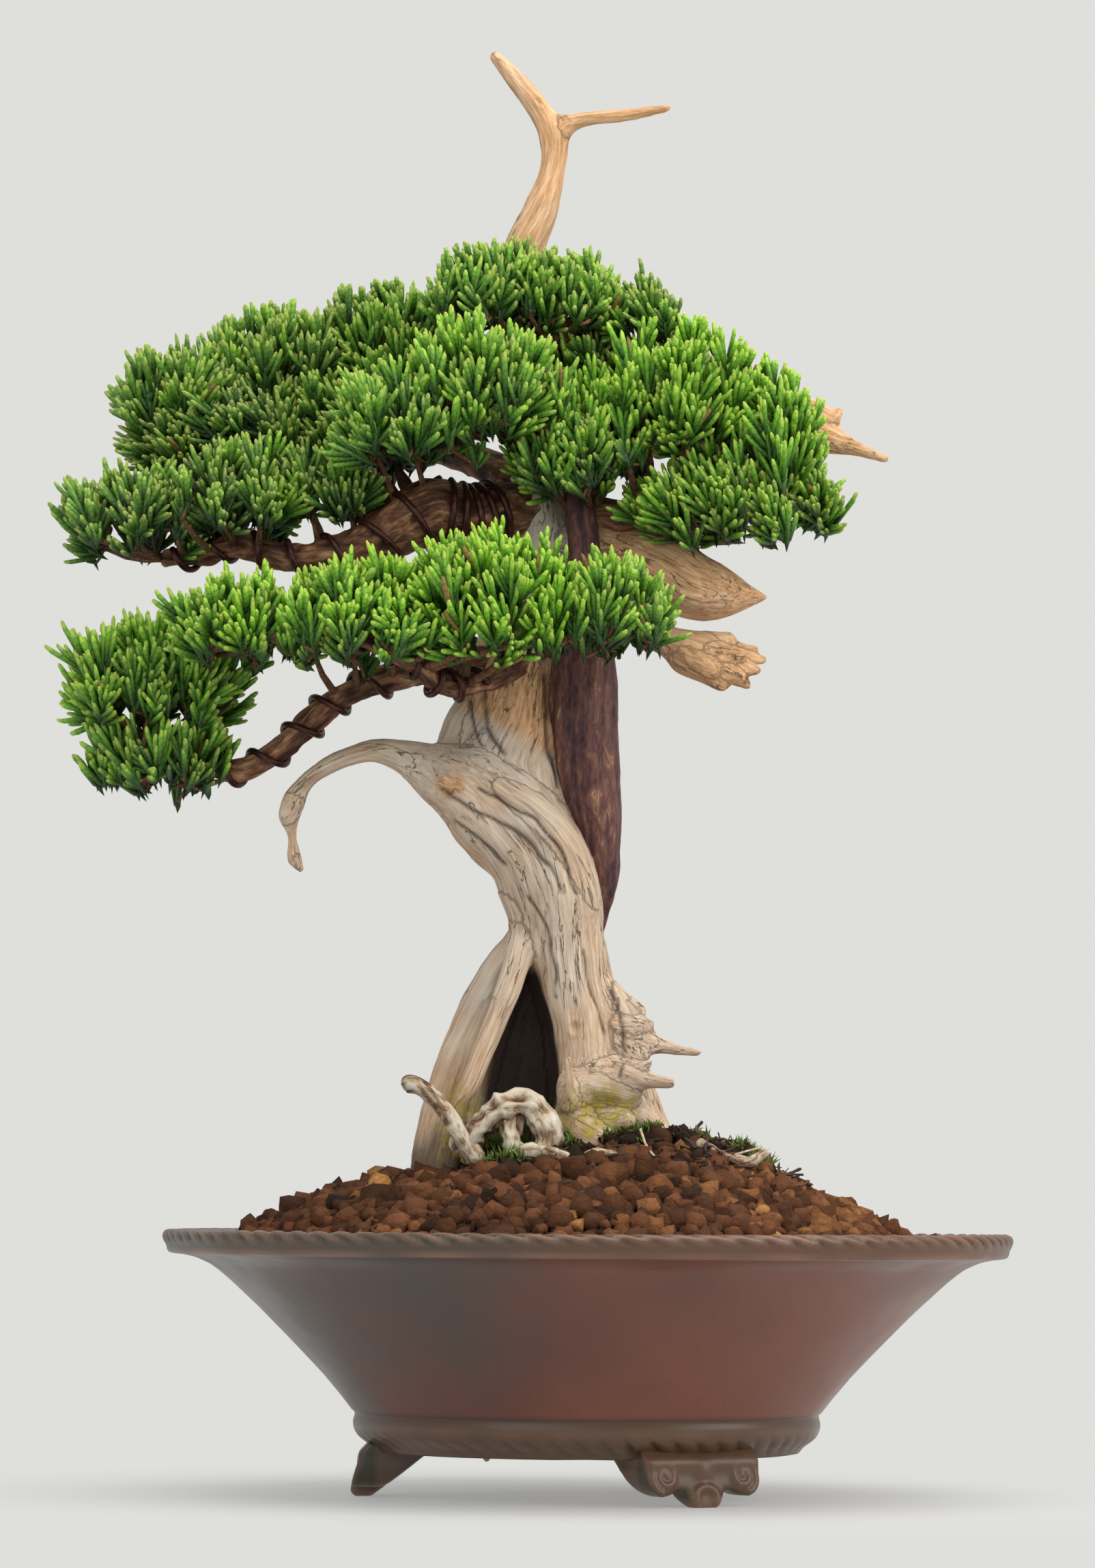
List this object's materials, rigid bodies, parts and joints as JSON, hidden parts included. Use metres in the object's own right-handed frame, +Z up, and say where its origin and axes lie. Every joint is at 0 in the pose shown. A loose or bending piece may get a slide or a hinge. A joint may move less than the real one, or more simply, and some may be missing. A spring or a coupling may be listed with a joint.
{
  "type": "bonsai tree in a pot",
  "caption": "Small juniper bonsai with bleached deadwood, a live vein and layered foliage pads, in a round flared stoneware pot on scroll feet.",
  "frame": {"origin": "middle of the underside of the whole model's box, on the surface that the pot stands on", "axes": "+Z up, +X to the right and +Y to the back, seen from the front of the tree"},
  "size_m": [0.2154, 0.1894, 0.3259],
  "materials": {
    "stoneware": "unglazed reddish-brown stoneware, burnished, faint sheen",
    "screen": "black moulded plastic mesh",
    "clip": "plain drawn aluminium wire",
    "akadama": "matt baked-clay granules",
    "moss": "low cushion moss with dead fibre",
    "deadwood": "bleached, weathered bare wood, matt",
    "bark": "smooth cleaned red-brown juniper bark",
    "root": "weathered root bark with lichen",
    "foliage": "green scale-leaf shoots with a waxy sheen",
    "wire": "dark red-brown anodised training wire"
  },
  "bodies": {
    "root": {"pot": "stoneware", "drain_mesh_left": "screen", "drain_clip_left": "clip", "drain_mesh_right": "screen", "drain_clip_right": "clip", "deadwood": "deadwood", "live_vein": "bark", "root_crossing": "root", "root_loop": "root", "root_surface": "root", "root_right": "root", "soil": "akadama", "moss_left": "moss", "moss_right": "moss", "branch_upper_left": "bark", "branch_lower_left": "bark", "branch_lower_front": "bark", "branch_lower_right": "bark", "branch_middle": "bark", "branch_upper_right": "bark", "branch_back": "bark", "branch_apex": "bark", "wire_upper_left": "wire", "wire_lower_left": "wire", "wire_lower_front": "wire", "wire_upper_right": "wire", "foliage_apex": "foliage", "foliage_upper_left": "foliage", "foliage_middle_left": "foliage", "foliage_middle": "foliage", "foliage_right": "foliage", "foliage_lower_left": "foliage", "foliage_lower_middle": "foliage", "foliage_lower_right": "foliage"}
  },
  "joints": []
}
